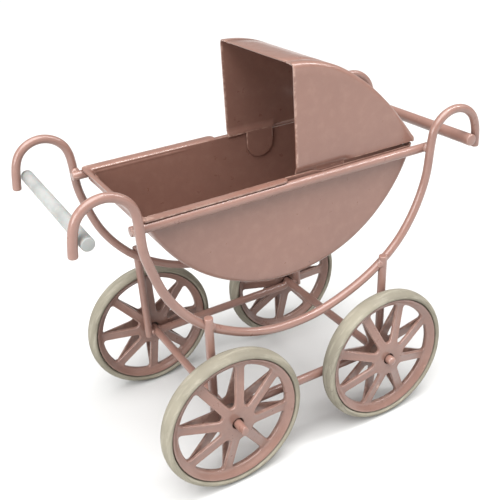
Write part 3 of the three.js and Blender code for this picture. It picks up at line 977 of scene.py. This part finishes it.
def disc_mesh():
    """One spoked pressing about the origin, its outer face towards +Y: closed, with rolled window edges."""
    rings = [circle(DISC["flat"] - 1.2, DISC_POINTS["hub"]), circle(DISC["flat"], DISC_POINTS["flat"])]
    rings += [circle(r, DISC_POINTS["rim"]) for r in (31.9, 32.6, 33.3)]
    seeds = spoke_seeds()
    wide_windows = [window_loop(k, WINDOW_BEAD[0][0]) for k in range(SPOKES)]
    hub = circle(DISC["hole"] + DISC_SOFT["hub"], DISC_POINTS["hub"])
    rim = circle(DISC["edge"] - DISC_SOFT["rim"], DISC_POINTS["rim"])
    flat, faces = filled(rim, [hub, *wide_windows], rings, seeds)
    parts = [([on_face(p) for p in flat], faces)]
    for wall in disc_walls():
        points = [p for loop in wall for p in loop]
        parts.append((points, grid_faces(len(wall), len(wall[0]), closed=True)))
    windows = [window_loop(k) for k in range(SPOKES)]
    hub = circle(DISC["hole"], DISC_POINTS["hub"])
    rim = circle(DISC["edge"], DISC_POINTS["rim"])
    flat, faces = filled(rim, [hub, *windows], rings, seeds)
    parts.append(([on_back(p) for p in flat], faces))
    return joined(*parts)


def lathe(profile, segments):
    """A closed section of (radius, y) turned about Y."""
    turns = [2 * math.pi * k / segments for k in range(segments)]
    rows = []
    for radius, y in profile:
        rows.append([Vector((radius * math.cos(a), y, radius * math.sin(a))) for a in turns])
    points = [p for row in rows for p in row]
    faces = grid_faces(len(rows), segments, closed=True)
    top = (len(rows) - 1) * segments
    faces += [(top + k, top + (k + 1) % segments, (k + 1) % segments, k) for k in range(segments)]
    return points, faces


def tyre_profile():
    crown = smooth_line([Vector(p) for p in TYRE_CROWN], 3)
    half = [*reversed(TYRE_BEAD), *[(p.x, p.y) for p in crown]]
    return half + [(r, -y) for r, y in reversed(half[:-1])]


def worn_tread(points, centre):
    """The tyre's points in place, its tread worn unevenly."""
    worn = []
    for p in points:
        out = Vector((p.x, 0, p.z))
        r = out.length
        way = out / r
        place = p + centre
        lump = 0.5 + 0.5 * noise.noise(place * 0.045) + 0.25 * noise.noise(place * 0.16)
        shrink = TYRE_WEAR["tread"] * max(lump, 0) if r > TYRE_WEAR["from_radius"] else 0
        width = p.y * (1 - TYRE_WEAR["width"] * lump)
        worn.append(way * (r - shrink) + Vector((0, width, 0)) + centre)
    return worn


def build_tyre(name, centre):
    points, faces = lathe(tyre_profile(), TYRE_SEGMENTS)
    tyre = make_piece(f"tyre_rubber_{name}", worn_tread(points, centre), faces, RUBBER, f"wheel_{name}",
                      [f"tyre_{name}"], crease=60)
    skin = tyre.data.attributes.new("skin", "FLOAT_VECTOR", "POINT")  # places for marks that run round it
    for i, v in enumerate(tyre.data.vertices):
        p = v.co - centre * MM
        way = Vector((p.x, 0, p.z))
        r = way.length
        around = way / r * TREAD_R
        skin.data[i].vector = (around.x, p.y * 5 + centre.y * MM, around.z + (r - TREAD_R) * 5)


def build_hub_sleeve(name, centre):
    low, high = box_mm(f"hub_tube_{name}")
    half = (high - low).y / 2
    outer, inner, soft = (high - low).x / 2, SLEEVE["bore"], SLEEVE["soft"]
    profile = [(outer - soft, half), (outer, half - soft), (outer, soft - half), (outer - soft, -half),
               (inner + soft, -half), (inner, soft - half), (inner, half - soft), (inner + soft, half)]
    points, faces = lathe(profile, SLEEVE["segments"])
    make_piece(f"hub_sleeve_{name}", [p + centre for p in points], faces, TUBE, f"wheel_{name}",
               [f"hub_tube_{name}"])


def build_wheels():
    points, faces = disc_mesh()
    for end in ENDS:
        for side, sign in SIDES.items():
            name = f"{end}_{side}"
            centre = middle(f"tyre_{name}")
            spin = Matrix.Rotation(math.radians(WHEEL_TURNS[name]), 3, "Y")
            turned = [spin @ p for p in points]
            for face, outward in (("outer", sign), ("inner", -sign)):
                place = [Vector((p.x, p.y * outward, p.z)) + centre for p in turned]
                make_piece(f"pressing_{face}_{name}", place, faces, PRESSING, f"wheel_{name}",
                           [f"disc_{face}_{name}"], crease=50)
            build_tyre(name, centre)
            build_hub_sleeve(name, centre)


def build_stroller():
    for side in SIDES:
        build_bow(side)
        build_rod(f"rail_{side}", ALONG_X)
        build_rod(f"stretcher_{side}", ALONG_X)
        for end in ENDS:
            build_post(end, side)
    build_axles()
    build_rod("front_bar", ALONG_Y, soft=0.9)
    build_rod("push_grip", ALONG_Y, PLASTIC, soft=0.7)
    build_joints()
    build_tub()
    build_hood()
    build_wheels()


# ---- studio, in metres ----
FLOOR_HALF = 9.0
WORLD_LIGHT = {"Color": (1.0, 0.99, 0.975, 1), "Strength": 0.36}
AIM = Vector((0, 0, 0.1))
CAMERA = {"azimuth": -28.154, "elevation": 24.924, "roll": -3.76, "place": (-0.18110, -0.32531, 0.29320)}
CAMERA_LENS = 55.38
CAMERA_SHIFT = -0.08


def build_floor():
    mesh = bpy.data.meshes.new("floor")
    corners = [(x * FLOOR_HALF, y * FLOOR_HALF, 0) for x, y in ((-1, -1), (1, -1), (1, 1), (-1, 1))]
    mesh.from_pydata(corners, [], [(0, 1, 2, 3)])
    floor = bpy.data.objects.new("floor", mesh)
    bpy.context.collection.objects.link(floor)
    s = Shader("floor_paper")
    s.link(s.mixed(s.noise(3, 3), (0.525, 0.525, 0.52), (0.545, 0.545, 0.54)), s.out.inputs["Base Color"])
    s.out.inputs["Roughness"].default_value = 0.95
    s.out.inputs["Specular IOR Level"].default_value = 0.1
    mesh.materials.append(s.material)


def build_world():
    world = bpy.data.worlds.new("studio")
    world.use_nodes = True
    background = world.node_tree.nodes["Background"]
    for key, value in WORLD_LIGHT.items():
        background.inputs[key].default_value = value
    bpy.context.scene.world = world


def add_light(name, kind, place, **settings):
    """A lamp at the place, turned towards the stroller."""
    light = bpy.data.lights.new(name, kind)
    for key, value in settings.items():
        setattr(light, key, value)
    lamp = bpy.data.objects.new(name, light)
    lamp.location = place
    lamp.rotation_euler = (AIM - Vector(place)).to_track_quat("-Z", "Y").to_euler()
    bpy.context.collection.objects.link(lamp)


def build_lights():
    """A broad light from above, and small ones for the gleam along the hood and into its mouth."""
    add_light("top", "SUN", (-0.30, -0.38, 1.4), energy=5.2, angle=math.radians(65))
    add_light("key", "AREA", (-0.45, -0.80, 1.20), energy=0.35, size=0.55)
    add_light("gleam", "AREA", (0.50, -0.24, 0.92), energy=7.0, shape="RECTANGLE", size=0.07, size_y=1.0)
    add_light("low_fill", "AREA", (0.55, -0.95, 0.16), energy=0.5, size=0.5)
    add_light("mouth", "AREA", (-0.85, -0.30, 0.45), energy=6.0, size=0.5)


def build_camera():
    az, el, roll = (math.radians(CAMERA[key]) for key in ("azimuth", "elevation", "roll"))
    back = Vector((math.sin(az) * math.cos(el), -math.cos(az) * math.cos(el), math.sin(el)))
    right = (-back).cross(Vector((0, 0, 1))).normalized()
    up = right.cross(-back)
    x = right * math.cos(roll) + up * math.sin(roll)
    y = up * math.cos(roll) - right * math.sin(roll)
    data = bpy.data.cameras.new("camera")
    data.sensor_width = 36
    data.lens = CAMERA_LENS
    data.shift_y = CAMERA_SHIFT
    data.clip_start = 0.01
    camera = bpy.data.objects.new("camera", data)
    camera.matrix_world = Matrix((x, y, back)).transposed().to_4x4()
    camera.location = CAMERA["place"]
    bpy.context.collection.objects.link(camera)
    bpy.context.scene.camera = camera


build_stroller()
build_floor()
build_world()
build_lights()
build_camera()
bpy.context.scene.view_settings.view_transform = "Standard"
